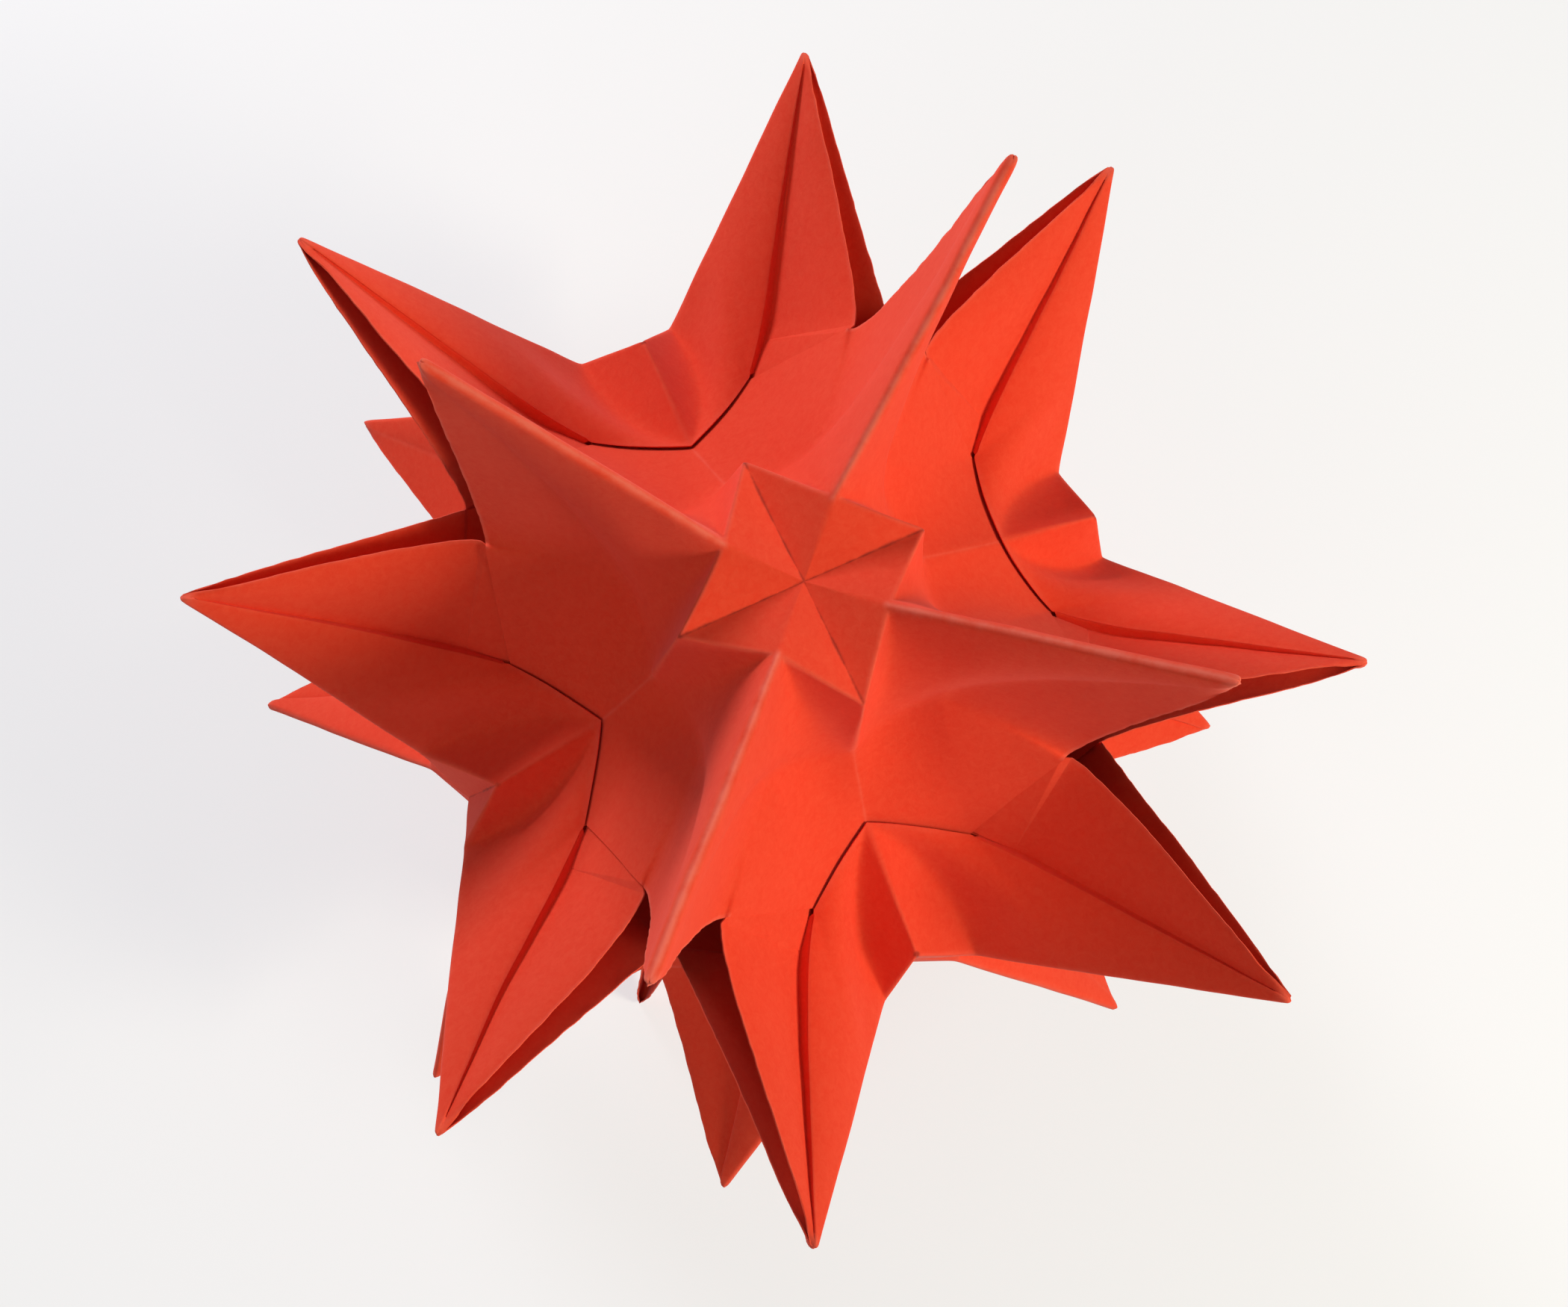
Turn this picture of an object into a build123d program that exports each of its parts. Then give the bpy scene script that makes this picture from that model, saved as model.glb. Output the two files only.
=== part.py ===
from build123d import *
import os

# A folded paper star ball. Six square sheets stand over the six faces of a cube. The middle of each
# sheet is a raised star with four points, and its four corners are long open spikes. A side of a
# sheet either gives a flap to its neighbour or has a pocket that takes the neighbour's flap.
# All sizes are in millimetres. "up" runs along a sheet's own axis, "out" towards the neighbour
# on one side, and "lateral" along that side's rim, each from the middle of the ball.

# Paper
paper = 0.25             # a sheet with the softness of its folds
seat_gap = 0.2           # air between a flap and the layers above and under it
fold_round = 0.35        # half the round top of a ridge, beside the paper itself

# Raised star
star_centre_up = 52.5
star_point_out = 18.5
star_point_up = 52.0
notch_out = 8.2
notch_up = 56.4

# Spike tips
tip_up = 78.0
tip_out = 39.0
tip_flare = 0.6          # a blunt tip is this much wider than the ridge, to each side
tip_depth = 1.6          # height of the paper at a blunt tip

# Prow under a star point, down to the base of the side
base_out = 22.2
base_up = 32.2

# Strip edge: a curve from the base to the tip, drawn by two handles. On a sheet that takes
# flaps it runs nearly straight from the base to the flap's corner.
shoulder_lateral = 12.4
shoulder_out = 15.5
shoulder_up = 32.1
neck_lateral = 19.3
neck_out = 20.5
neck_up = 48.4
pocket_bow = 0.2         # the share of the curve that is left in that straight run
strip_swell = 0.5        # how far a strip swells outwards between its two folds
pit_depth = 3.0          # how far it sinks in instead, under the star's edge
pit_reach = 0.4          # the share of the spike that this hollow reaches along

# Pleat: past a pocket, a strip's edge stands over the panel that comes out from under it
pleat_depth = 1.6
pleat_tuck = 0.6

# Free edge round a mouth: from the middle of the side, past one handle, to the tip
rim_lateral = 26.6
rim_out = 35.8
rim_handle_lateral = 30.0
rim_handle_out = 33.9
rim_handle_up = 32.3

# Flap and pocket
flap_lap = 3.6           # how far a flap runs on under the neighbour's strips, at the base
flap_lap_end = 1.0       # and at its corner
flap_sink = 2.0          # how far its end bends down at the base, clear of the neighbour's prow
tongue = 5.0             # how far a pocket's panel runs on under the flap

# Stations along a spike
stations = 10
flap_stations = 4        # a flap passes under the neighbour's strip up to this station

AXES = {
    "top": Vector(0, 0, 1),
    "bottom": Vector(0, 0, -1),
    "right": Vector(1, 0, 0),
    "left": Vector(-1, 0, 0),
    "back": Vector(0, 1, 0),
    "front": Vector(0, -1, 0),
}

# The neighbours whose pockets take a sheet's flaps
FLAPS = {
    "top": ("right", "back", "left", "front"),
    "bottom": ("right", "back", "left", "front"),
    "right": ("back",),
    "back": ("left",),
    "left": ("front",),
    "front": ("right",),
}

# How far hand folding left a tip from its even place, for each sheet and mouth corner
LEANS = {
    ("top", (1, 1, 1)): (5, -4, 0),
    ("top", (-1, 1, 1)): (3, 0, 0),
    ("top", (-1, -1, 1)): (-3, -1, 0),
    ("top", (1, -1, 1)): (-1, 1, 0),
    ("back", (-1, 1, 1)): (-3, 1, 0),
    ("back", (-1, 1, -1)): (-3, 1, 0),
    ("right", (1, 1, 1)): (-3, 3, 0),
    ("right", (1, -1, 1)): (-4, -3, -1),
    ("front", (1, -1, 1)): (0, -2, 0),
    ("front", (-1, -1, 1)): (4, -2, 0),
    ("front", (-1, -1, -1)): (-1, 3, 0),
    ("front", (1, -1, -1)): (-2, 0, 0),
    ("left", (-1, 1, 1)): (1, -3, -1),
    ("left", (-1, -1, 1)): (4, -6, 0),
    ("left", (-1, 1, -1)): (-1, -3, 0),
    ("left", (-1, -1, -1)): (0, 3, 0),
}

# The same for the base and the star point of a side that meets the top sheet
BASE_LEANS = {"right": (5, -1, 1), "left": (2, -1, 0), "front": (-1, 1, 0)}
POINT_LEANS = {"right": (2, -3, 1), "left": (4, -3, 0), "front": (-2, 0, 0), "back": (1, 0, 0)}

# Values that follow from the sizes above
ridge_half = paper + fold_round
tip_half = ridge_half + tip_flare
layer = paper + seat_gap
seat_drop = 1.25 * layer     # a layer's depth, measured square to the side, on a sloping panel


def place(frame, lateral, out, up):
    """The point with these sizes in a frame of lateral, out and up directions."""
    along, outward, upward = frame
    return along * lateral + outward * out + upward * up


def bezier(handles, share):
    """The point at a share of the way along the curve that these handles draw."""
    points = list(handles)
    while len(points) > 1:
        points = [a + (b - a) * share for a, b in zip(points, points[1:])]
    return points[0]


def facing(hint, *corners):
    """A flat piece of the sheet, as three-cornered facets whose fronts look the way of the hint."""
    facets = []
    for second, third in zip(corners[1:], corners[2:]):
        normal = (second - corners[0]).cross(third - corners[0])
        if normal.dot(hint) > 0:
            facets.append((corners[0], second, third))
        else:
            facets.append((corners[0], third, second))
    return facets


def between(hint, rail, other):
    """Facets between two rails of points with as many points each."""
    facets = []
    for a, b, c, d in zip(rail, rail[1:], other[1:], other):
        facets += facing(hint, a, b, c) + facing(hint, a, c, d)
    return facets


def notch(frame):
    return place(frame, notch_out, notch_out, notch_up)


def meets_top(frame):
    """Whether a side faces the top sheet."""
    return frame[1].dot(AXES["top"]) > 0.5


def base(name, frame):
    lean = BASE_LEANS.get(name, (0, 0, 0)) if meets_top(frame) else (0, 0, 0)
    return place(frame, 0, base_out, base_up) + Vector(*lean)


def star_point(name, frame):
    lean = POINT_LEANS.get(name, (0, 0, 0)) if meets_top(frame) else (0, 0, 0)
    return place(frame, 0, star_point_out, star_point_up) + Vector(*lean)


def rim_middle(frame):
    return place(frame, rim_lateral, rim_out, rim_out)


def tip(name, frame):
    """The end of the ridge of the spike at one corner of the named sheet."""
    corner = frame[0] + frame[1] + frame[2]
    mouth = (round(corner.X), round(corner.Y), round(corner.Z))
    return place(frame, tip_out, tip_out, tip_up) + Vector(*LEANS.get((name, mouth), (0, 0, 0)))


def spike_directions(name, frame):
    """Along the ridge, square to it towards the side, and down into the spike."""
    along = (tip(name, frame) - notch(frame)).normalized()
    side = (frame[1] - frame[0]).normalized()
    down = along.cross(side)
    if down.dot(frame[2]) > 0:
        down = down * -1
    return along, side, down


def tip_end(name, frame):
    """Where a strip ends at the blunt tip."""
    side, down = spike_directions(name, frame)[1:]
    return tip(name, frame) + side * tip_half + down * tip_depth


def ridge_line(name, frame):
    start = notch(frame)
    end = tip(name, frame)
    return [start + (end - start) * (i / stations) for i in range(stations + 1)]


def shoulder_line(name, frame):
    """The side of the round top of a ridge, where a strip starts."""
    side, down = spike_directions(name, frame)[1:]
    return [point + side * ridge_half + down * fold_round for point in ridge_line(name, frame)]


def strip_edge(name, frame):
    """The crease or free edge where a strip ends, from the base to the tip."""
    handles = (
        base(name, frame),
        place(frame, shoulder_lateral, shoulder_out, shoulder_up),
        place(frame, neck_lateral, neck_out, neck_up),
        tip_end(name, frame),
    )
    curve = [bezier(handles, i / stations) for i in range(stations + 1)]
    if len(FLAPS[name]) == 4:
        return curve
    start, kink = curve[0], curve[flap_stations]
    straight = [start + (kink - start) * (i / flap_stations) for i in range(flap_stations)]
    bowed = [a + (b - a) * pocket_bow for a, b in zip(straight, curve)]
    return bowed + curve[flap_stations:]


def rim_edge(name, frame):
    """The free edge of a side panel, from the middle of the side to the tip."""
    handles = (
        rim_middle(frame),
        place(frame, rim_handle_lateral, rim_handle_out, rim_handle_up),
        tip_end(name, frame),
    )
    steps = stations - flap_stations
    return [bezier(handles, i / steps) for i in range(steps + 1)]


def star_facets(name, up):
    """The raised star: two facets and the start of a ridge at each of its notches."""
    facets = []
    centre = up * star_centre_up
    for along, outward in side_pairs(name):
        frame = (along, outward, up)
        start = notch(frame)
        beside = shoulder_line(name, frame)[0]
        facets += facing(up, centre, star_point(name, frame), beside)
        facets += facing(up, centre, beside, start)
    return facets


def end_facets(name, frame, beside, under):
    """Half of the pinched end that closes a spike."""
    along, side, down = spike_directions(name, frame)
    top = tip(name, frame)
    end = tip_end(name, frame)
    return facing(along, top, beside, under) + facing(along, top, under, end) + facing(
        along, top, end, top + down * tip_depth
    )


def strip_facets(name, frame):
    """Half a spike: the half of its round ridge, its strip, and the wall under the star."""
    down = spike_directions(name, frame)[2]
    shoulder = shoulder_line(name, frame)
    edge = strip_edge(name, frame)
    middle = []
    for i, (a, b) in enumerate(zip(shoulder, edge)):
        share = i / stations
        swell = (b - a).cross(frame[0] + frame[1]).normalized()
        if swell.dot(frame[1]) < 0:
            swell = swell * -1
        hollow = pit_depth * max(0, 1 - share / pit_reach) ** 2
        middle.append((a + b) * 0.5 + swell * (strip_swell * 4 * share * (1 - share) - hollow))
    point = star_point(name, frame)
    wall = facing(frame[1], point, shoulder[0], middle[0]) + facing(frame[1], point, middle[0], edge[0])
    crown = between(down * -1, ridge_line(name, frame), shoulder)
    strip = between(frame[1], shoulder, middle) + between(frame[1], middle, edge)
    return wall + crown + strip + end_facets(name, frame, shoulder[-1], middle[-1])


def seat_rails(name, neighbour, frame):
    """A flap's own strip edge, and where it passes under the neighbour's strip edge."""
    along, outward, up = frame
    lower = (outward + up).normalized() * -seat_drop
    near = strip_edge(name, frame)[: flap_stations + 1]
    far = strip_edge(neighbour, (along, up, outward))[: flap_stations + 1]
    return near, [point + lower for point in far]


def web_rails(name, neighbour, frame):
    """Lines of a flap, from its own strip edge to its end under the neighbour's strip."""
    near, seat = seat_rails(name, neighbour, frame)
    inward = (frame[1] + frame[2]).normalized() * -1
    middle = [(a + b) * 0.5 for a, b in zip(near, seat)]
    end = []
    for i, (a, b) in enumerate(zip(near, seat)):
        share = i / flap_stations
        lap = flap_lap + (flap_lap_end - flap_lap) * share
        end.append(b + (b - a).normalized() * lap + inward * (flap_sink * (1 - share)))
    return near, middle, seat, end


def side_panel(name, frame, inner):
    """The panel between its inner line and the free edge, from its second rung to the tip."""
    rim = rim_edge(name, frame)
    return between(frame[1] + frame[2], inner[:-1], rim[1:-1]) + facing(
        frame[1] + frame[2], inner[-2], inner[-1], rim[-2]
    )


def flap_facets(name, neighbour, frame):
    """Half a flap: the web to the neighbour, its corner at the mouth, and its own side panel."""
    hint = frame[1] + frame[2]
    rails = web_rails(name, neighbour, frame)
    near, middle, seat = rails[:3]
    facets = []
    for rail, other in zip(rails, rails[1:]):
        facets += between(hint, rail, other)
    corner = rim_middle(frame)
    first = strip_edge(name, frame)[flap_stations + 1]
    facets += facing(hint, near[-1], corner, middle[-1]) + facing(hint, middle[-1], corner, seat[-1])
    facets += facing(hint, near[-1], first, rim_edge(name, frame)[1]) + facing(
        hint, near[-1], rim_edge(name, frame)[1], corner
    )
    return facets + side_panel(name, frame, strip_edge(name, frame)[flap_stations + 1 :])


def pleat_foot(name, frame):
    """The line under a strip's edge where the pleat turns back and the side panel starts."""
    side, down = spike_directions(name, frame)[1:]
    edge = strip_edge(name, frame)[flap_stations + 1 :]
    foot = []
    for i, point in enumerate(edge):
        closing = (1 - i / (len(edge) - 1)) ** 0.5
        foot.append(point + (down * pleat_depth - side * pleat_tuck) * closing)
    return foot


def pleat_facets(name, frame, foot):
    """The paper that turns back under a strip's edge, down to the foot of the pleat."""
    side = spike_directions(name, frame)[1]
    edge = strip_edge(name, frame)[flap_stations + 1 :]
    return between(side, edge[:-1], foot[:-1]) + facing(side, edge[-2], edge[-1], foot[-2])


def pocket_facets(name, neighbour, frame):
    """Half a pocket: its side panel, and the tongue that runs on under the neighbour's flap."""
    along, outward, up = frame
    hint = outward + up
    lower = hint.normalized() * -seat_drop
    near, seat = seat_rails(neighbour, name, (along, up, outward))
    corner = rim_middle(frame)
    under_corner = corner + lower
    run = (near[-1] - seat[-1]).normalized()
    heel = seat[-1] + lower
    inner_corner = under_corner + (near[-1] - corner).normalized() * tongue
    inner_heel = heel + run * tongue
    foot = pleat_foot(name, frame)
    facets = facing(hint, foot[0], rim_edge(name, frame)[1], under_corner)
    facets += facing(hint, foot[0], under_corner, heel)
    facets += facing(hint, heel, under_corner, inner_corner, inner_heel)
    return facets + pleat_facets(name, frame, foot) + side_panel(name, frame, foot)


def side_pairs(name):
    """Each half side of a sheet: the direction along the side, and the direction out of it."""
    up = AXES[name]
    across = [axis for axis in AXES.values() if abs(axis.dot(up)) < 0.5]
    return [(a, b) for a in across for b in across if abs(a.dot(b)) < 0.5]


def sheet_facets(name):
    """The whole front of a folded sheet."""
    up = AXES[name]
    facets = star_facets(name, up)
    for along, outward in side_pairs(name):
        frame = (along, outward, up)
        neighbour = next(key for key, axis in AXES.items() if (axis - outward).length < 0.5)
        facets += strip_facets(name, frame)
        if neighbour in FLAPS[name]:
            facets += flap_facets(name, neighbour, frame)
        else:
            facets += pocket_facets(name, neighbour, frame)
    return facets


def spot(point):
    """A name for a point, so that facets that share a corner find each other."""
    return (round(point.X, 4), round(point.Y, 4), round(point.Z, 4))


def facet_face(corners):
    """A flat face with three corners."""
    with BuildLine() as outline:
        Polyline(*corners, close=True)
    return Face(outline.wire())


def thick_sheet(facets):
    """Gives a folded surface the thickness of the paper, mitred at every fold."""
    meeting = {}
    edges = set()
    for facet in facets:
        normal = (facet[1] - facet[0]).cross(facet[2] - facet[0]).normalized()
        for i, point in enumerate(facet):
            following = facet[(i + 1) % 3]
            width = (following - point).get_angle(facet[i - 1] - point)
            meeting.setdefault(spot(point), (point, []))[1].append((normal, width))
            edges.add((spot(point), spot(following)))
    back = {}
    for key, (point, normals) in meeting.items():
        mean = sum((normal * width for normal, width in normals), Vector(0, 0, 0)).normalized()
        share = sum(mean.dot(normal) * width for normal, width in normals)
        back[key] = point - mean * (paper * sum(width for normal, width in normals) / share)
    faces = [facet_face(facet) for facet in facets]
    faces += [facet_face([back[spot(point)] for point in reversed(facet)]) for facet in facets]
    for start, end in edges:
        if (end, start) not in edges:
            front_start, front_end = meeting[start][0], meeting[end][0]
            faces.append(facet_face((front_end, front_start, back[start])))
            faces.append(facet_face((front_end, back[start], back[end])))
    return Solid(Shell(faces))


sheets = {}
for name in AXES:
    folded = thick_sheet(sheet_facets(name))
    with BuildPart() as sheet:
        add(folded)
    sheets[name] = sheet.part

# The ball stands on the four tips of its bottom sheet, over the origin
box = Compound(children=[Compound(part.wrapped) for part in sheets.values()]).bounding_box()
stand = Location((-box.center().X, -box.center().Y, -box.min.Z))

os.makedirs("parts", exist_ok=True)
for name, part in sheets.items():
    standing = part.moved(stand)
    standing.label = f"{name}_sheet"
    export_step(standing, f"parts/{name}_sheet.step")
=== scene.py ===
import math

import bpy
import numpy as np
from mathutils import Matrix, Vector


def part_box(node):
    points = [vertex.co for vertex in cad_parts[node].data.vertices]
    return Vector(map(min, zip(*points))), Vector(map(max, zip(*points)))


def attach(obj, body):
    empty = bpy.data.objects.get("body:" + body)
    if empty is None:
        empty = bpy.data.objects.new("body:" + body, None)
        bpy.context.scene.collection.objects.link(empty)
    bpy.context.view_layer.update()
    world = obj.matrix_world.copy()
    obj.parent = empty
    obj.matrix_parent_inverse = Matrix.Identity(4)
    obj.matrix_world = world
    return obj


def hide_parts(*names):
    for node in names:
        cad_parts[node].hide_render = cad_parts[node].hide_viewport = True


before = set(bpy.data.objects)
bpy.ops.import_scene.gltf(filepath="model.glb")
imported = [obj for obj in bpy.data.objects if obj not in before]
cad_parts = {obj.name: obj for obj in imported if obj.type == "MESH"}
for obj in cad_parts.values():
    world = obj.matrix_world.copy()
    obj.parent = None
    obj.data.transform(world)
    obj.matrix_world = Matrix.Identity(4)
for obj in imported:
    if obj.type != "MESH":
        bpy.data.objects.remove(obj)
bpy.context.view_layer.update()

MM = 0.001

# Sizes of the folded ball, in mm from its middle. A place on a sheet is told by how far it lies
# along a side, out towards the neighbour sheet, and up through the sheet's own star.

# The raised star, and the notches between its points
star_centre_up = 52.5
star_point_out = 18.5
star_point_up = 52.0
notch_out = 8.2
notch_up = 56.4

# The spikes, with their round ridge and blunt tip
tip_up = 78.0
tip_out = 39.0
ridge_half = 0.6
ridge_drop = 0.35
tip_half = 0.9
tip_depth = 1.0

# The strip on each side of a ridge, from the base under the star to the tip
base_out = 22.2
base_up = 32.2
shoulder = (12.4, 15.5, 32.1)
neck = (19.3, 20.5, 48.4)
pocket_bow = 0.2
strip_swell = 0.5

# The hollow beside each prow. The top sheet has a share of it
pit_depth = 6.0
pit_reach = 0.45
pit_round = 10.0
pit_round_limit = 0.8
top_pit = 0.55

# The side panels, from the rim's middle to the pinched end of the spike
rim_lateral = 26.6
rim_out = 35.8
rim_handle = (30.0, 33.9, 32.3)
panel_roll = 1.0
pinch = 0.07

# The pleat past each pocket, how deep it starts and how soon it is at full depth
pleat_depth = 2.4
pleat_tuck = 0.8
pleat_start = 0.45
pleat_growth = 2.5

# The flap in its pocket, with the air under it, and the tongue beyond the pocket's corner
flap_lap = 3.6
flap_lap_end = 1.0
flap_sink = 2.0
tongue = 5.0
seat_drop = 0.5625

paper = 0.2

# Stations along a spike: all of them, the last with a flap, the first with the pocket's panel,
# the one that tells the strip's direction beside the hollow, and the first of the soft bend
stations = 100
flap_ends = 40
panel_starts = 50
hollow_sight = 20
bend_starts = 6

# How soft and uneven the paper is
hollow_steps = 20
fold_steps = 5
wave_height = 0.9
waves_per_metre = 38.0
wave_detail = 2.0
ragged_edge = 0.45
ragged_scale = 420.0
ragged_detail = 3.0
bend_share = 0.35
handled_top = 1.0
handled_rest = 0.5
crease_angle = 50

# Weights by the distance from a line: the value on it, and the mm over which it gains one
ridge_soft = (0.3, 2)
hollow_soft = (1.25, -6)
bend_soft = (1.3, -3)
line_kept = (-0.15, 2.5)
rim_ragged = (1, -0.8)
rim_picks = 30

# How fine the paper's pattern is, in cells per metre, and how the floor is shown
cloud_scale = 55.0
mottle_scale = 260.0
felt_scale = 900.0
fibre_scale = 3200.0
floor_white_share = 0.62
floor_half = 3.0

AXES = {
    "top": (0, 0, 1),
    "bottom": (0, 0, -1),
    "right": (1, 0, 0),
    "left": (-1, 0, 0),
    "back": (0, 1, 0),
    "front": (0, -1, 0),
}
AXES = {name: np.array(axis, float) for name, axis in AXES.items()}

# The neighbours that take a flap from each sheet
FLAPS = {
    "top": ("right", "back", "left", "front"),
    "bottom": ("right", "back", "left", "front"),
    "right": ("back",),
    "back": ("left",),
    "left": ("front",),
    "front": ("right",),
}

# How far each tip leans from its even place, by sheet and by the mouth beside it
LEANS = {
    ("top", (1, 1, 1)): (5, -4, 0),
    ("top", (-1, 1, 1)): (3, 0, 0),
    ("top", (-1, -1, 1)): (-3, -1, 0),
    ("top", (1, -1, 1)): (-1, 1, 0),
    ("back", (-1, 1, 1)): (-3, 1, 0),
    ("back", (-1, 1, -1)): (-3, 1, 0),
    ("right", (1, 1, 1)): (-3, 3, 0),
    ("right", (1, -1, 1)): (-4, -3, -1),
    ("front", (1, -1, 1)): (0, -2, 0),
    ("front", (-1, -1, 1)): (4, -2, 0),
    ("front", (-1, -1, -1)): (-1, 3, 0),
    ("front", (1, -1, -1)): (-2, 0, 0),
    ("left", (-1, 1, 1)): (1, -3, -1),
    ("left", (-1, -1, 1)): (4, -6, 0),
    ("left", (-1, 1, -1)): (-1, -3, 0),
    ("left", (-1, -1, -1)): (0, 3, 0),
}

# The same for the bases and star points that look up at the top sheet
BASE_LEANS = {"right": (5, -1, 1), "left": (2, -1, 0), "front": (-1, 1, 0)}
POINT_LEANS = {"right": (2, -3, 1), "left": (4, -3, 0), "front": (-2, 0, 0), "back": (1, 0, 0)}

EVEN = (0, 0, 0)


def unit(vector):
    return vector / np.linalg.norm(vector)


def place(f, lateral, out, up):
    """A point by its distances along the three axes of a half side."""
    along, outward, upward = f
    return along * lateral + outward * out + upward * up


def bezier(handles, shares):
    """Points at these shares of the way along the curve that the handles draw."""
    shares = np.asarray(shares, float)[:, None]
    points = [np.broadcast_to(h, (len(shares), 3)) for h in handles]
    while len(points) > 1:
        points = [a + (b - a) * shares for a, b in zip(points, points[1:])]
    return points[0]


def shares_even(count):
    return np.linspace(0.0, 1.0, count + 1)


def shares_tight(count):
    """Shares that crowd towards the folds at both ends."""
    return 0.5 - 0.5 * np.cos(np.pi * shares_even(count))


def dome(shares):
    """A bow that is 0 at both ends and 1 in the middle."""
    return 4 * shares * (1 - shares)


def notch(f):
    return place(f, notch_out, notch_out, notch_up)


def lean(leans, name, f):
    """How far a side's middle stands from its even place, where it meets the top sheet."""
    return np.array(leans.get(name, EVEN) if f[1][2] > 0.5 else EVEN, float)


def base(name, f):
    return place(f, 0, base_out, base_up) + lean(BASE_LEANS, name, f)


def star_point(name, f):
    return place(f, 0, star_point_out, star_point_up) + lean(POINT_LEANS, name, f)


def rim_middle(f):
    return place(f, rim_lateral, rim_out, rim_out)


def tip(name, f):
    corner = f[0] + f[1] + f[2]
    mouth = tuple(int(round(c)) for c in corner)
    return place(f, tip_out, tip_out, tip_up) + np.array(LEANS.get((name, mouth), EVEN), float)


def spike_directions(name, f):
    """Along the ridge, to this half's side of it, and down into the spike."""
    along = unit(tip(name, f) - notch(f))
    side = unit(f[1] - f[0])
    down = np.cross(along, side)
    if down.dot(f[2]) > 0:
        down = -down
    return along, side, down


def tip_end(name, f):
    _, side, down = spike_directions(name, f)
    return tip(name, f) + side * tip_half + down * tip_depth


def ridge_line(name, f):
    return bezier((notch(f), tip(name, f)), shares_even(stations))


def shoulder_line(name, f):
    _, side, down = spike_directions(name, f)
    return ridge_line(name, f) + side * ridge_half + down * ridge_drop


def strip_edge(name, f):
    """The strip's lower edge. Beside a pocket it is nearly straight up to the kink."""
    handles = (base(name, f), place(f, *shoulder), place(f, *neck), tip_end(name, f))
    curve = bezier(handles, shares_even(stations))
    if len(FLAPS[name]) < 4:
        straight = bezier((curve[0], curve[flap_ends]), shares_even(flap_ends))
        curve[: flap_ends + 1] = straight + (curve[: flap_ends + 1] - straight) * pocket_bow
    return curve


def rim_edge(name, f):
    """The free edge of a side panel. Its end is pinched in to the middle of the spike."""
    shares = shares_even(stations - flap_ends)
    rim = bezier((rim_middle(f), place(f, *rim_handle), tip_end(name, f)), shares)
    side = spike_directions(name, f)[1]
    near = np.clip((shares - 1 + pinch) / pinch, 0, 1)[:, None]
    inward = ((rim - tip(name, f)) @ side)[:, None] * side
    return rim - inward * near * near * (3 - 2 * near)


def across(rail, other, shares):
    """A grid of points between two rails."""
    shares = np.asarray(shares)[None, :, None]
    return rail[:, None, :] + (other - rail)[:, None, :] * shares


def fan(apex, rail, shares):
    """A grid of points from one apex to a rail."""
    return across(np.broadcast_to(apex, rail.shape), rail, shares)


def side_pairs(name):
    """The two directions of each half side: along it, and out towards the neighbour."""
    up = AXES[name]
    level = [axis for axis in AXES.values() if abs(axis.dot(up)) < 0.5]
    return [(a, b) for a in level for b in level if abs(a.dot(b)) < 0.5]


# How finely each kind of facet is cut across
STAR = shares_tight(24)
WALL = shares_tight(16)
CROWN = shares_even(3)
STRIP = shares_tight(18)
PANEL = shares_tight(16)
CORNER = shares_tight(18)
LAP = shares_even(4)
PLEAT = shares_even(6)
CREASE = shares_even(10)


def strip_grid(name, crest, edge, f):
    """The strip from crest to edge: swollen a little, and hollow beside the prow."""
    swell = np.cross(edge - crest, f[0] + f[1])
    swell *= np.sign(swell @ f[1])[:, None] / np.linalg.norm(swell, axis=1)[:, None]
    far = shares_even(stations)
    depth = pit_depth * (top_pit if name == "top" else 1.0)
    rise = strip_swell * dome(far) - depth * np.clip(1 - far / pit_reach, 0, 1) ** 2
    return across(crest, edge, STRIP) + swell[:, None, :] * np.outer(rise, dome(STRIP))[:, :, None]


def round_hollow(strip, wall):
    """Rounds the hollow where a strip meets the wall under the star."""
    bottom = strip[0].copy()
    up_wall = wall[:, 0] - bottom
    up_strip = strip[hollow_sight] - bottom
    room = pit_round_limit * np.linalg.norm(up_wall, axis=1)
    radius = np.minimum(pit_round * dome(STRIP), room)[:, None]
    turn = up_wall / np.linalg.norm(up_wall, axis=1)[:, None]
    turn = turn + up_strip / np.linalg.norm(up_strip, axis=1)[:, None]
    reach = np.maximum(radius, 1e-6)
    for column in (strip.transpose(1, 0, 2), wall):
        away = np.linalg.norm(column - bottom[:, None], axis=2)
        share = np.clip(1 - away / reach, 0, 1) ** 2 * radius / 4
        column += turn[:, None] * share[:, :, None]


def web(name, neighbour, f):
    """The web of a flap: its near edge, the neighbour's seat for it, and the flap's hidden end."""
    along, outward, up = f
    middle_way = unit(outward + up)
    near = strip_edge(name, f)[: flap_ends + 1]
    seat = strip_edge(neighbour, (along, up, outward))[: flap_ends + 1] + middle_way * -seat_drop
    lap = np.linspace(flap_lap, flap_lap_end, flap_ends + 1)[:, None]
    sink = np.linspace(flap_sink, 0.0, flap_ends + 1)[:, None]
    reach = seat - near
    reach /= np.linalg.norm(reach, axis=1)[:, None]
    return near, seat, seat + reach * lap - middle_way * sink


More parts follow.
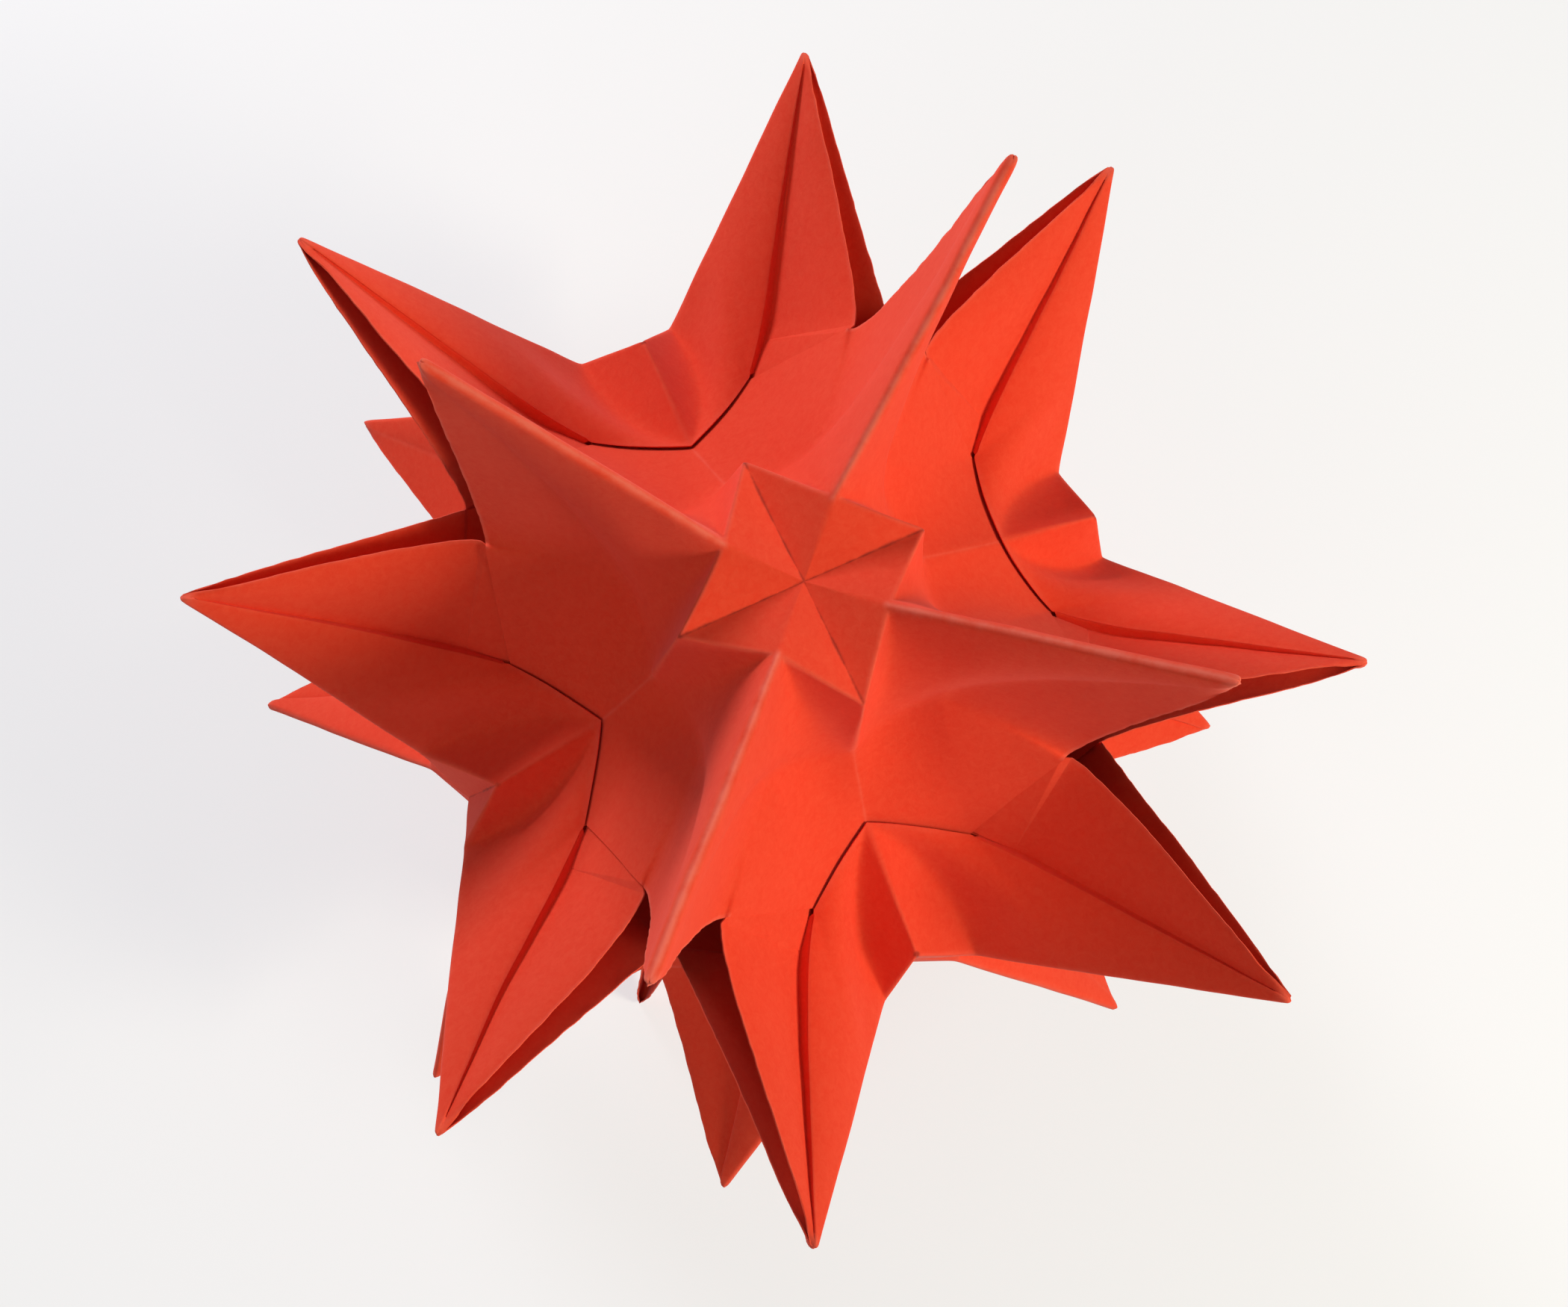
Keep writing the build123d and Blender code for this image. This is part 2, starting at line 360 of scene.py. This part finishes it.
class Sheet:
    """The front of one folded sheet: grids of points, and the lines that wear, darken with dirt and
    painted shade, or stay soft.
    """

    def __init__(self, name):
        self.name = name
        self.grids = []
        self.lines = {"ridge": [], "fold": [], "valley": [], "edge": [], "end": []}
        self.hollows = []
        self.bends = []
        self.kept = []
        up = AXES[name]
        for along, outward in side_pairs(name):
            self.half_side((along, outward, up))

    def grid(self, points, hint):
        """Keeps a grid, turned so that its front looks the way of the hint."""
        u = points[1:, 1:] - points[:-1, :-1]
        v = points[1:, :-1] - points[:-1, 1:]
        normal = np.cross(u.reshape(-1, 3), v.reshape(-1, 3)).sum(0)
        if normal.dot(hint) < 0:
            points = points[:, ::-1]
        self.grids.append(points)

    def half_side(self, f):
        """Half a side: its part of the star and spike, and the flap or pocket beyond."""
        name = self.name
        outward, up = f[1:]
        neighbour = next(key for key, axis in AXES.items() if axis.dot(outward) > 0.5)
        way, _, down = spike_directions(name, f)
        ridge = ridge_line(name, f)
        crest = shoulder_line(name, f)
        edge = strip_edge(name, f)
        centre, point = up * star_centre_up, star_point(name, f)
        top, end = tip(name, f), tip_end(name, f)

        crown = across(ridge, crest, CROWN)
        strip = strip_grid(name, crest, edge, f)
        wall = fan(point, strip[0], WALL)
        round_hollow(strip, wall)
        prow = bezier((point, crest[0]), WALL)
        close = bezier((end, top + down * tip_depth), PANEL)
        self.grid(crown, -down)
        self.grid(strip, outward)
        self.grid(fan(centre, prow, STAR), up)
        self.grid(fan(centre, crown[0], STAR), up)
        self.grid(wall, outward)
        self.grid(fan(top, strip[-1], CROWN), way)
        self.grid(fan(top, close, CROWN), way)

        post = bezier((point, base(name, f)), CREASE)
        self.lines["ridge"].append(ridge)
        self.lines["end"].append(np.array([top, end]))
        self.lines["valley"].append(bezier((centre, point), CREASE))
        self.lines["fold"] += [post, prow]
        if len(FLAPS[name]) < 4:
            self.lines["fold"].append(edge)
        self.hollows.append(strip[0, 2:-2])
        self.kept += [ridge, prow, post]

        if neighbour in FLAPS[name]:
            self.flap(f, neighbour, edge)
        else:
            self.pocket(f, neighbour, edge)

    def flap(self, f, neighbour, edge):
        """The web to the neighbour, its end inside the pocket, and the side panel."""
        hint = f[1] + f[2]
        near, seat, end = web(self.name, neighbour, f)
        rim = rim_edge(self.name, f)
        self.grid(across(near, seat, PANEL), hint)
        self.grid(across(seat, end, LAP), hint)
        brim = bezier((rim_middle(f), seat[-1]), CORNER)
        self.grid(fan(near[-1], brim, PANEL), hint)
        self.grid(across(edge[flap_ends:], rim, PANEL), hint)
        self.bends.append(edge[bend_starts:])
        self.lines["fold"].append(bezier((near[0], seat[0]), shares_even(4)))
        self.lines["edge"].append(rim)

    def pocket(self, f, neighbour, edge):
        """The pleat past the kink, the side panel, and the tongue under the neighbour's flap."""
        along, outward, up = f
        hint = outward + up
        lower = unit(hint) * -seat_drop
        near, seat, _ = web(neighbour, self.name, (along, up, outward))
        rim = rim_edge(self.name, f)[panel_starts - flap_ends:]
        corner = rim_middle(f)
        under_corner = corner + lower
        heel = seat[-1] + lower
        inner_corner = under_corner + unit(near[-1] - corner) * tongue
        inner_heel = heel + unit(near[-1] - seat[-1]) * tongue

        way, side, _ = spike_directions(self.name, f)
        begins = flap_ends + 1
        pleat_line = edge[begins:]
        rise = shoulder_line(self.name, f)[begins:-1] - pleat_line[:-1]
        rise = np.vstack([rise, rise[-1]])
        rise /= np.linalg.norm(rise, axis=1)[:, None]
        inward = np.cross(rise, way)
        inward *= -np.sign(inward @ side)[:, None] / np.linalg.norm(inward, axis=1)[:, None]
        run = np.linspace(0, 1, len(pleat_line))[:, None]
        closing = np.sqrt(1 - run) * np.clip(pleat_start + run * pleat_growth, 0, 1)
        foot = pleat_line + (inward * pleat_depth + rise * pleat_tuck) * closing
        starts = panel_starts - begins
        first = foot[starts]

        self.grid(across(pleat_line, foot, PLEAT), side)
        panel = across(foot[starts:], rim, PANEL)
        roll = panel_roll * np.outer(dome(shares_even(stations - panel_starts)), dome(PANEL))
        self.grid(panel + unit(hint) * roll[:, :, None], hint)
        self.grid(fan(heel, foot[: starts + 1], PANEL), hint)
        under = bezier((under_corner, heel), CORNER)
        self.grid(fan(first, bezier((rim[0], under_corner), CORNER), PANEL), hint)
        self.grid(fan(first, under, PANEL), hint)
        self.grid(across(under, bezier((inner_corner, inner_heel), CORNER), LAP), hint)
        self.lines["edge"].append(rim)

    def net(self):
        """One net of points and faces: grids that share a rail are joined there."""
        places, points, faces = {}, [], []
        for grid in self.grids:
            rows, columns = grid.shape[:2]
            keys = np.round(grid.reshape(-1, 3) * 1000).astype(int)
            index = []
            for key, point in zip(map(tuple, keys), grid.reshape(-1, 3)):
                if key not in places:
                    places[key] = len(points)
                    points.append(point)
                index.append(places[key])
            for i in range(rows - 1):
                for j in range(columns - 1):
                    k = i * columns + j
                    loop = (index[k], index[k + 1], index[k + columns + 1], index[k + columns])
                    loop = [p for n, p in enumerate(loop) if p != loop[n - 1]]
                    if len(loop) > 2:
                        faces.append(loop[::-1])
        return np.array(points), faces


def reach_to(points, lines, picks=12):
    """The distance of each point from the nearest of the lines, each thinned to a few points."""
    nearest = np.full(len(points), 1e9)
    for line in lines:
        pick = np.linspace(0, len(line) - 1, min(picks, len(line))).round().astype(int)
        line = line[pick]
        for start, end in zip(line[:-1], line[1:]):
            run = end - start
            length = run.dot(run)
            if length < 1e-9:
                continue
            share = np.clip((points - start) @ run / length, 0, 1)
            gap = np.linalg.norm(points - start - share[:, None] * run, axis=1)
            np.minimum(nearest, gap, out=nearest)
    return nearest


def ramp(points, lines, on_line, run, picks=12):
    """A weight from 0 to 1: on_line on the lines, and one more, or less, each run of mm away."""
    return np.clip(on_line + reach_to(points, lines, picks) / run, 0, 1)


def open_points(faces):
    """The points on the sheet's free edges."""
    count = {}
    for loop in faces:
        for a, b in zip(loop, loop[1:] + loop[:1]):
            pair = (min(a, b), max(a, b))
            count[pair] = count.get(pair, 0) + 1
    return [point for pair, times in count.items() if times == 1 for point in pair]


def store(mesh, name, values):
    mesh.attributes.new(name, "FLOAT", "POINT").data.foreach_set("value", values)


def feed(tree, socket, value):
    """Sets a socket to a plain value, or links it to another socket."""
    if isinstance(value, (int, float, tuple)):
        socket.default_value = value
    else:
        tree.links.new(value, socket)


def maths(tree, operation, first, second, clamp=False):
    node = tree.nodes.new("ShaderNodeMath")
    node.operation = operation
    node.use_clamp = clamp
    feed(tree, node.inputs[0], first)
    feed(tree, node.inputs[1], second)
    return node.outputs[0]


def noise(tree, vector, scale, detail, roughness=0.5):
    node = tree.nodes.new("ShaderNodeTexNoise")
    feed(tree, node.inputs["Scale"], scale)
    node.inputs["Detail"].default_value = detail
    node.inputs["Roughness"].default_value = roughness
    tree.links.new(vector, node.inputs["Vector"])
    return node


def uneven(tree, vector, scale, detail, height):
    """A shift in all directions by noise, of about this height."""
    field = noise(tree, vector, scale, detail)
    level = tree.nodes.new("ShaderNodeVectorMath")
    level.operation = "SUBTRACT"
    level.inputs[1].default_value = (0.5, 0.5, 0.5)
    tree.links.new(field.outputs["Color"], level.inputs[0])
    sized = tree.nodes.new("ShaderNodeVectorMath")
    sized.operation = "SCALE"
    tree.links.new(level.outputs["Vector"], sized.inputs[0])
    tree.links.new(height, sized.inputs["Scale"])
    return sized.outputs["Vector"]


def moved(tree, shape, socket, value):
    """The shape with its points set to a new Position, or shifted by an Offset."""
    node = tree.nodes.new("GeometryNodeSetPosition")
    tree.links.new(shape, node.inputs["Geometry"])
    tree.links.new(value, node.inputs[socket])
    return node.outputs["Geometry"]


def named_value(tree, name):
    node = tree.nodes.new("GeometryNodeInputNamedAttribute")
    node.data_type = "FLOAT"
    node.inputs["Name"].default_value = name
    return node.outputs["Attribute"]


def softness_tree():
    """Rounds every fold, lets the sheet wave a little as hand-folded paper does, and dresses it."""
    tree = bpy.data.node_groups.new("soft_folded_paper", "GeometryNodeTree")
    face = tree.interface
    face.new_socket("Geometry", in_out="INPUT", socket_type="NodeSocketGeometry")
    inputs = {
        "Hollow rounding": "NodeSocketInt",
        "Fold rounding": "NodeSocketInt",
        "Wave height": "NodeSocketFloat",
        "Waves per metre": "NodeSocketFloat",
        "Ragged edge": "NodeSocketFloat",
        "Paper": "NodeSocketMaterial",
    }
    keys = {}
    for label, kind in inputs.items():
        keys[label] = face.new_socket(label, in_out="INPUT", socket_type=kind).identifier
    face.new_socket("Geometry", in_out="OUTPUT", socket_type="NodeSocketGeometry")
    start = tree.nodes.new("NodeGroupInput")
    end = tree.nodes.new("NodeGroupOutput")
    where = tree.nodes.new("GeometryNodeInputPosition").outputs["Position"]

    shape = start.outputs["Geometry"]
    for steps, weight in (("Hollow rounding", "hollow"), ("Fold rounding", "softness")):
        blur = tree.nodes.new("GeometryNodeBlurAttribute")
        blur.data_type = "FLOAT_VECTOR"
        tree.links.new(where, blur.inputs["Value"])
        tree.links.new(start.outputs[steps], blur.inputs["Iterations"])
        tree.links.new(named_value(tree, weight), blur.inputs["Weight"])
        shape = moved(tree, shape, "Position", blur.outputs["Value"])
    height = start.outputs["Wave height"]
    wave = uneven(tree, where, start.outputs["Waves per metre"], wave_detail, height)
    shape = moved(tree, shape, "Offset", wave)
    height = maths(
        tree, "MULTIPLY", named_value(tree, "raggedness"), start.outputs["Ragged edge"]
    )
    fray = uneven(tree, where, ragged_scale, ragged_detail, height)
    shape = moved(tree, shape, "Offset", fray)

    real = tree.nodes.new("GeometryNodeRealizeInstances")
    tree.links.new(shape, real.inputs["Geometry"])
    dress = tree.nodes.new("GeometryNodeSetMaterial")
    tree.links.new(real.outputs["Geometry"], dress.inputs["Geometry"])
    tree.links.new(start.outputs["Paper"], dress.inputs["Material"])
    tree.links.new(dress.outputs["Geometry"], end.inputs["Geometry"])
    return tree, keys


def shader_group(name, inputs, outputs):
    """An empty shader group with these number sockets, and its two end nodes."""
    tree = bpy.data.node_groups.new(name, "ShaderNodeTree")
    for label, value in inputs.items():
        socket = tree.interface.new_socket(label, in_out="INPUT", socket_type="NodeSocketFloat")
        socket.default_value = value
    for label in outputs:
        tree.interface.new_socket(label, in_out="OUTPUT", socket_type="NodeSocketFloat")
    return tree, tree.nodes.new("NodeGroupInput"), tree.nodes.new("NodeGroupOutput")


def on_object(tree):
    return tree.nodes.new("ShaderNodeTexCoord").outputs["Object"]


def wear_and_shade_group():
    """A mottled mark beside a line: full on it and fading away from it. It gives the pale wear of
    rubbed folds, and the dirt and painted shade of valley creases.
    """
    inputs = {"Distance": 1.0, "Width": 1.0, "Mottle": 0.5}
    tree, start, end = shader_group("fold_wear_and_shade", inputs, ["Wear"])
    coarse = noise(tree, on_object(tree), mottle_scale, 4.0, 0.65)
    share = maths(tree, "DIVIDE", start.outputs["Distance"], start.outputs["Width"])
    fade = maths(tree, "SUBTRACT", 1.0, share, clamp=True)
    sway = maths(tree, "SUBTRACT", coarse.outputs["Fac"], 0.5)
    sway = maths(tree, "MULTIPLY", sway, start.outputs["Mottle"])
    sway = maths(tree, "MULTIPLY", sway, 4.0)
    total = maths(tree, "ADD", fade, sway)
    total = maths(tree, "MULTIPLY", total, fade, clamp=True)
    tree.links.new(total, end.inputs["Wear"])
    return tree


def grain_group():
    """Fibres and grain of the sheet, as a height and a mask."""
    tree, start, end = shader_group("paper_grain", {"Fineness": 1.0}, ["Height", "Mask"])
    scaled = tree.nodes.new("ShaderNodeVectorMath")
    scaled.operation = "SCALE"
    tree.links.new(on_object(tree), scaled.inputs[0])
    tree.links.new(start.outputs["Fineness"], scaled.inputs["Scale"])
    fine = noise(tree, scaled.outputs["Vector"], fibre_scale, 3.0, 0.6)
    felt = noise(tree, scaled.outputs["Vector"], felt_scale, 4.0, 0.7)
    felt.inputs["Distortion"].default_value = 0.6
    broad = maths(tree, "MULTIPLY", felt.outputs["Fac"], 0.6)
    finer = maths(tree, "MULTIPLY", fine.outputs["Fac"], 0.4)
    tree.links.new(maths(tree, "ADD", broad, finer), end.inputs["Height"])
    tree.links.new(felt.outputs["Fac"], end.inputs["Mask"])
    return tree


def mix_colour(tree, mask, first, second):
    node = tree.nodes.new("ShaderNodeMix")
    node.data_type = "RGBA"
    feed(tree, node.inputs[0], mask)
    feed(tree, node.inputs[6], first)
    feed(tree, node.inputs[7], second)
    return node.outputs[2]


def attribute(tree, name):
    node = tree.nodes.new("ShaderNodeAttribute")
    node.attribute_name = name
    return node.outputs["Fac"]


def place_group(tree, group_tree, **values):
    node = tree.nodes.new("ShaderNodeGroup")
    node.node_tree = group_tree
    for label, value in values.items():
        feed(tree, node.inputs[label], value)
    return node


# The paper's colours: dyed, in its fibres, rubbed pale, and a dark red for the dirt and painted
# shade along valley creases
DEEP_RED = (0.80, 0.044, 0.013, 1)
BRIGHT_RED = (0.86, 0.056, 0.019, 1)
FIBRE_RED = (0.9, 0.10, 0.04, 1)
RUBBED_RED = (0.95, 0.36, 0.25, 1)
# Dark red of the valley creases: partly dirt, partly painted shade in the crease
DIRT_AND_SHADE_RED = (0.2, 0.012, 0.008, 1)

# How each kind of line wears: width in mm, mottle, and how pale it gets
WEAR = {
    "ridge": (1.0, 0.6, 0.3),
    "fold": (0.55, 0.5, 0.1),
    "edge": (0.5, 0.4, 0.2),
    "end": (3.2, 0.5, 0.3),
}
# How the valley creases darken with dirt and painted shade: width in mm, mottle, and strength
VALLEY_DIRT_AND_SHADE = (0.4, 1.1, 0.6)


def red_paper(wear, grain):
    """Dyed red craft paper: matte, a little furry, whitened where folds are rubbed, and darkened
    along valley creases by dirt and painted shade.
    """
    material = bpy.data.materials.new("red_paper")
    material.use_nodes = True
    tree = material.node_tree
    shader = tree.nodes["Principled BSDF"]
    shader.inputs["Roughness"].default_value = 0.82
    shader.inputs["Specular IOR Level"].default_value = 0.1
    shader.inputs["Sheen Weight"].default_value = 0.08
    shader.inputs["Sheen Roughness"].default_value = 0.6

    def wear_and_shade_mark(kind, width, mottle, strength):
        """How much a kind of line shows at each place: rubbed wear on folds, dirt and painted shade
        in valleys.
        """
        node = place_group(tree, wear, Distance=attribute(tree, kind), Width=width, Mottle=mottle)
        return maths(tree, "MULTIPLY", node.outputs["Wear"], strength)

    cloud = noise(tree, on_object(tree), cloud_scale, 3.0)
    fibre = place_group(tree, grain, Fineness=1.0)
    colour = mix_colour(tree, cloud.outputs["Fac"], DEEP_RED, BRIGHT_RED)
    speck = maths(tree, "SUBTRACT", fibre.outputs["Mask"], 0.5)
    speck = maths(tree, "MULTIPLY", speck, 1.1)
    speck = maths(tree, "ADD", speck, 0.2, clamp=True)
    colour = mix_colour(tree, speck, colour, FIBRE_RED)

    rub, *others = [wear_and_shade_mark(kind, *values) for kind, values in WEAR.items()]
    for other in others:
        rub = maths(tree, "MAXIMUM", rub, other)
    rub = maths(tree, "MULTIPLY", rub, attribute(tree, "handled"))
    colour = mix_colour(tree, rub, colour, RUBBED_RED)
    # The valley creases are darkened: partly dirt, partly painted shade in the crease
    colour = mix_colour(tree, wear_and_shade_mark("valley", *VALLEY_DIRT_AND_SHADE), colour, DIRT_AND_SHADE_RED)
    tree.links.new(colour, shader.inputs["Base Color"])

    bump = tree.nodes.new("ShaderNodeBump")
    bump.inputs["Strength"].default_value = 0.35
    bump.inputs["Distance"].default_value = 0.00012
    tree.links.new(fibre.outputs["Height"], bump.inputs["Height"])
    tree.links.new(bump.outputs["Normal"], shader.inputs["Normal"])
    return material


# The sheets stand where the CAD's ball stands
low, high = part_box("bottom_sheet")
middle = np.array([(low.x + high.x) / 2, (low.y + high.y) / 2, tip_up * MM])

finish = red_paper(wear_and_shade_group(), grain_group())
tree, keys = softness_tree()


def flat_mesh(name):
    """The sheet's front as a mesh, with the weights and distances that the trees read."""
    sheet = Sheet(name)
    points, faces = sheet.net()
    mesh = bpy.data.meshes.new(f"{name}_net")
    mesh.from_pydata((points * MM + middle).tolist(), [], faces)
    mesh.update()

    soft = ramp(points, sheet.lines["ridge"], *ridge_soft)
    soft[open_points(faces)] = 0.0
    wide = ramp(points, sheet.hollows, *hollow_soft)
    bend = ramp(points, sheet.bends, *bend_soft)
    keep = ramp(points, sheet.kept, *line_kept)
    store(mesh, "softness", soft)
    store(mesh, "hollow", np.maximum(wide, bend * bend_share) * keep * soft)
    store(mesh, "raggedness", ramp(points, sheet.lines["edge"], *rim_ragged, rim_picks))
    store(mesh, "handled", np.full(len(points), handled_top if name == "top" else handled_rest))
    for kind, lines in sheet.lines.items():
        store(mesh, kind, reach_to(points, lines))
    return mesh


for name in AXES:
    piece = bpy.data.objects.new(f"{name}_folded", flat_mesh(name))
    bpy.context.scene.collection.objects.link(piece)
    modifier = piece.modifiers.new("softness", "NODES")
    modifier.node_group = tree
    modifier[keys["Hollow rounding"]] = hollow_steps
    modifier[keys["Fold rounding"]] = fold_steps
    modifier[keys["Wave height"]] = wave_height * MM
    modifier[keys["Waves per metre"]] = waves_per_metre
    modifier[keys["Ragged edge"]] = ragged_edge * MM
    modifier[keys["Paper"]] = finish
    thickness = piece.modifiers.new("thickness", "SOLIDIFY")
    thickness.thickness = paper * MM
    thickness.offset = -1.0
    graph = bpy.context.evaluated_depsgraph_get()
    finished = bpy.data.meshes.new_from_object(piece.evaluated_get(graph), depsgraph=graph)
    piece.modifiers.clear()
    piece.data = finished
    finished.name = f"{name}_folded"
    finished.shade_smooth()
    finished.set_sharp_from_angle(angle=math.radians(crease_angle))
    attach(piece, "root")
    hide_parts(f"{name}_sheet")
    print(name, len(finished.polygons), "faces")


def seen_rays(tree):
    """1 for rays that the camera or a reflection sees, and 0 for the rays that light the ball."""
    path = tree.nodes.new("ShaderNodeLightPath")
    return maths(tree, "MAXIMUM", path.outputs["Is Camera Ray"], path.outputs["Is Glossy Ray"])


def blend_shaders(tree, share, first, second, output):
    blend = tree.nodes.new("ShaderNodeMixShader")
    tree.links.new(share, blend.inputs["Fac"])
    tree.links.new(first, blend.inputs[1])
    tree.links.new(second, blend.inputs[2])
    tree.links.new(blend.outputs["Shader"], tree.nodes[output].inputs["Surface"])


def floor_finish():
    """Pale floor: plain to the object's light, near white to the camera, with the shadow kept."""
    material = bpy.data.materials.new("pale_floor")
    material.use_nodes = True
    tree = material.node_tree
    shader = tree.nodes["Principled BSDF"]
    shader.inputs["Base Color"].default_value = (0.86, 0.86, 0.86, 1)
    shader.inputs["Roughness"].default_value = 0.9
    shader.inputs["Specular IOR Level"].default_value = 0.0
    white = tree.nodes.new("ShaderNodeEmission")
    white.inputs["Color"].default_value = (1, 1, 1, 1)
    white.inputs["Strength"].default_value = 1.0
    share = maths(tree, "MULTIPLY", seen_rays(tree), floor_white_share)
    blend_shaders(
        tree, share, shader.outputs["BSDF"], white.outputs["Emission"], "Material Output"
    )
    return material


corners = [(-1, -1), (1, -1), (1, 1), (-1, 1)]
floor_mesh = bpy.data.meshes.new("floor")
floor_mesh.from_pydata([(x * floor_half, y * floor_half, 0) for x, y in corners], [], [(0, 1, 2, 3)])
floor_mesh.materials.append(floor_finish())
floor = bpy.data.objects.new("floor", floor_mesh)
bpy.context.scene.collection.objects.link(floor)

# The world lights the ball weakly, and shows as a pale backdrop
world = bpy.data.worlds.new("studio")
bpy.context.scene.world = world
world.use_nodes = True
sky = world.node_tree.nodes["Background"]
sky.inputs["Color"].default_value = (0.88, 0.93, 1.0, 1)
sky.inputs["Strength"].default_value = 0.16
backdrop = world.node_tree.nodes.new("ShaderNodeBackground")
backdrop.inputs["Color"].default_value = (1, 1, 1, 1)
backdrop.inputs["Strength"].default_value = 0.9
blend_shaders(
    world.node_tree, seen_rays(world.node_tree),
    sky.outputs["Background"], backdrop.outputs["Background"], "World Output",
)


def lamp(name, where, size, power, colour):
    """A soft square lamp that looks at the ball's middle."""
    data = bpy.data.lights.new(name, "AREA")
    data.size = size
    data.energy = power
    data.color = colour
    obj = bpy.data.objects.new(name, data)
    obj.location = where
    sight = Vector(middle) - Vector(where)
    obj.rotation_euler = sight.to_track_quat("-Z", "Y").to_euler()
    bpy.context.scene.collection.objects.link(obj)


lamp("key", (0.42, -0.42, 0.46), 0.2, 3.8, (1.0, 0.94, 0.74))
lamp("fill", (-0.07, 0.66, 0.37), 0.2, 3.5, (0.92, 0.9, 1.0))
lamp("front", (-0.45, -0.2, 0.56), 0.3, 0.7, (0.95, 0.95, 1.0))

# The photograph looks down on the star, a little from the front left
camera_place = Vector((-50.1, -44.9, 286.9)) * MM
camera_right = Vector((0.89782, -0.42923, 0.09839))
camera_up = Vector((0.40193, 0.89004, 0.21511))
camera_back = camera_right.cross(camera_up).normalized()
camera_up = camera_back.cross(camera_right).normalized()
lens = bpy.data.cameras.new("camera")
lens.sensor_width = 36.0
lens.lens = 41.39
lens.clip_start = 0.01
camera = bpy.data.objects.new("camera", lens)
turn = Matrix((camera_right, camera_up, camera_back)).transposed()
camera.matrix_world = Matrix.Translation(Vector(middle) + camera_place) @ turn.to_4x4()
bpy.context.scene.collection.objects.link(camera)
bpy.context.scene.camera = camera
bpy.context.scene.view_settings.view_transform = "Standard"
